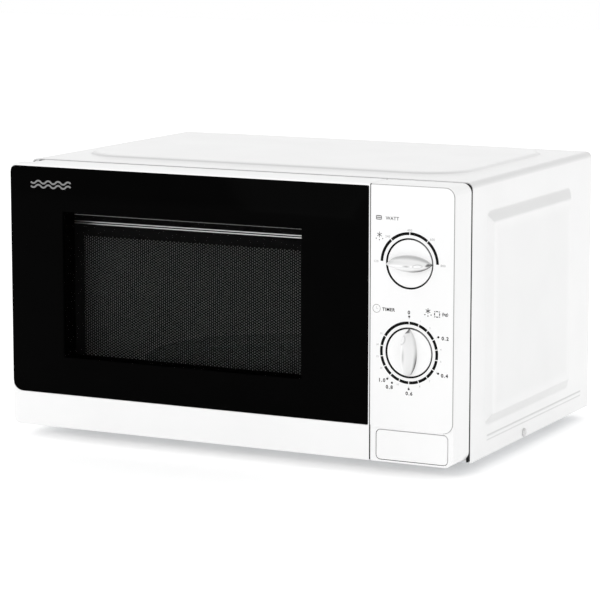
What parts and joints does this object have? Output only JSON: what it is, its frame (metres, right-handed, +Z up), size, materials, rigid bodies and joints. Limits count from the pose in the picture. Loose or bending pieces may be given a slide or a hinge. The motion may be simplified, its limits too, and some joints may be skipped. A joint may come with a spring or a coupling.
{
  "type": "microwave oven",
  "caption": "Countertop microwave oven with a side-hinged glass door, two turning dials, a push-button door release and a glass turntable.",
  "frame": {"origin": "centre of the bounding box's footprint, on the surface that the feet stand on", "axes": "+Z up, the door faces -Y, +X to the right seen from the front"},
  "size_m": [0.4456, 0.3586, 0.2578],
  "materials": {
    "white_enamel": "fine satin white enamel",
    "cavity_enamel": "speckled pale grey enamel",
    "white_plastic": "satin moulded plastic",
    "grey_plastic": "moulded",
    "dark_plastic": "moulded",
    "black_glass": "gloss black printed glass with a clear window",
    "clear_glass": "clear",
    "screen_steel": "black perforated sheet",
    "galvanised": "zinc coated",
    "bright_steel": "nickel plated",
    "iron": "stacked laminations",
    "copper": "enamelled copper wire",
    "aluminium": "mill finish",
    "rubber": "matt",
    "mica": "mica sheet",
    "board": "circuit board"
  },
  "bodies": {
    "root": {"base_plate": "galvanised", "control_panel": "white_plastic", "cord_gland": "dark_plastic", "fan_housing": "grey_plastic", "fan_motor": "iron", "foot_front_left": "rubber", "foot_front_right": "rubber", "foot_rear_left": "rubber", "foot_rear_right": "rubber", "front_plate": "white_enamel", "hinge_bracket_lower": "galvanised", "hinge_bracket_upper": "galvanised", "hv_capacitor": "aluminium", "hv_diode": "dark_plastic", "interlock_bracket": "white_plastic", "magnetron": "aluminium", "monitor_switch": "dark_plastic", "noise_filter": "board", "outer_cabinet": "white_enamel", "oven_cavity": "cavity_enamel", "oven_lamp": "clear_glass", "power_switch_unit": "dark_plastic", "primary_switch": "dark_plastic", "rear_panel": "galvanised", "rear_screw_1": "bright_steel", "rear_screw_2": "bright_steel", "rear_screw_3": "bright_steel", "rear_screw_4": "bright_steel", "secondary_switch": "dark_plastic", "side_screw_left": "bright_steel", "side_screw_right": "bright_steel", "thermal_cutout": "dark_plastic", "timer_unit": "grey_plastic", "transformer_core": "iron", "transformer_winding": "copper", "turntable_motor": "galvanised", "waveguide": "galvanised", "waveguide_cover": "mica"},
    "door": {"door_frame": "white_plastic", "door_glass": "black_glass", "door_screen": "screen_steel", "door_choke_panel": "galvanised", "door_inner_window": "clear_glass", "choke_cover": "grey_plastic", "hook_spring": "bright_steel"},
    "door_hook": {"door_hook_plate": "white_plastic"},
    "button": {"release_button": "white_plastic"},
    "lever": {"release_lever": "white_plastic"},
    "power_dial": {"power_knob": "white_plastic", "power_shaft": "bright_steel"},
    "timer_dial": {"timer_knob": "white_plastic", "timer_shaft": "bright_steel"},
    "coupling": {"drive_coupling": "white_plastic"},
    "turntable": {"glass_turntable": "clear_glass"},
    "roller_carrier": {"roller_ring": "white_plastic"},
    "wheel_a": {"roller_a": "white_plastic"},
    "wheel_b": {"roller_b": "white_plastic"},
    "wheel_c": {"roller_c": "white_plastic"},
    "fan": {"fan_blade": "dark_plastic"}
  },
  "joints": [
    {"name": "door_hinge", "type": "hinge", "parent": "root", "child": "door", "pos_m": [-0.2104, -0.13925, 0.134], "axis": [0, 0, -1], "range_deg": [0, 100]},
    {"name": "hook_slide", "type": "slide", "parent": "door", "child": "door_hook", "axis": [0, 0, 1], "range_m": [0, 0.0035], "stiffness_N_per_m": 250, "springref_m": -0.008, "deforming": ["hook_spring"]},
    {"name": "button_press", "type": "slide", "parent": "root", "child": "button", "axis": [0, 1, 0], "range_m": [0, 0.006], "stiffness_N_per_m": 300, "springref_m": -0.006},
    {"name": "lever_turn", "type": "hinge", "parent": "root", "child": "lever", "pos_m": [0.1501, -0.11475, 0.052], "axis": [1, 0, 0], "range_deg": [0, 14.5]},
    {"name": "power_turn", "type": "hinge", "parent": "root", "child": "power_dial", "pos_m": [0.1772, -0.16285, 0.1875], "axis": [0, -1, 0], "range_deg": [0, 176]},
    {"name": "timer_turn", "type": "hinge", "parent": "root", "child": "timer_dial", "pos_m": [0.1772, -0.16285, 0.1108], "axis": [0, 1, 0], "range_deg": [0, 300]},
    {"name": "turntable_spin", "type": "hinge", "parent": "root", "child": "coupling", "pos_m": [-0.04065, 0.0148, 0.034], "axis": [0, 0, 1], "continuous": true},
    {"name": "turntable_lift", "type": "slide", "parent": "coupling", "child": "turntable", "axis": [0, 0, 1], "range_m": [0, 0.015]},
    {"name": "carrier_spin", "type": "hinge", "parent": "root", "child": "roller_carrier", "pos_m": [-0.04065, 0.0148, 0.04165], "axis": [0, 0, 1], "continuous": true},
    {"name": "wheel_a_spin", "type": "hinge", "parent": "roller_carrier", "child": "wheel_a", "pos_m": [0.03859, 0.06055, 0.04165], "axis": [0.866, 0.5, 0], "continuous": true},
    {"name": "wheel_b_spin", "type": "hinge", "parent": "roller_carrier", "child": "wheel_b", "pos_m": [-0.11989, 0.06055, 0.04165], "axis": [-0.866, 0.5, 0], "continuous": true},
    {"name": "wheel_c_spin", "type": "hinge", "parent": "roller_carrier", "child": "wheel_c", "pos_m": [-0.04065, -0.0767, 0.04165], "axis": [0, -1, 0], "continuous": true},
    {"name": "fan_spin", "type": "hinge", "parent": "root", "child": "fan", "pos_m": [0.1654, 0.13225, 0.15], "axis": [0, 1, 0], "continuous": true}
  ],
  "couplings": [
    {"joint": "lever_turn", "follows": "button_press", "rad_per_m": 42.174},
    {"joint": "hook_slide", "follows": "button_press", "ratio": 0.5833},
    {"joint": "carrier_spin", "follows": "turntable_spin", "ratio": 0.5},
    {"joint": "wheel_a_spin", "follows": "turntable_spin", "ratio": -6.1},
    {"joint": "wheel_b_spin", "follows": "turntable_spin", "ratio": -6.1},
    {"joint": "wheel_c_spin", "follows": "turntable_spin", "ratio": -6.1}
  ]
}
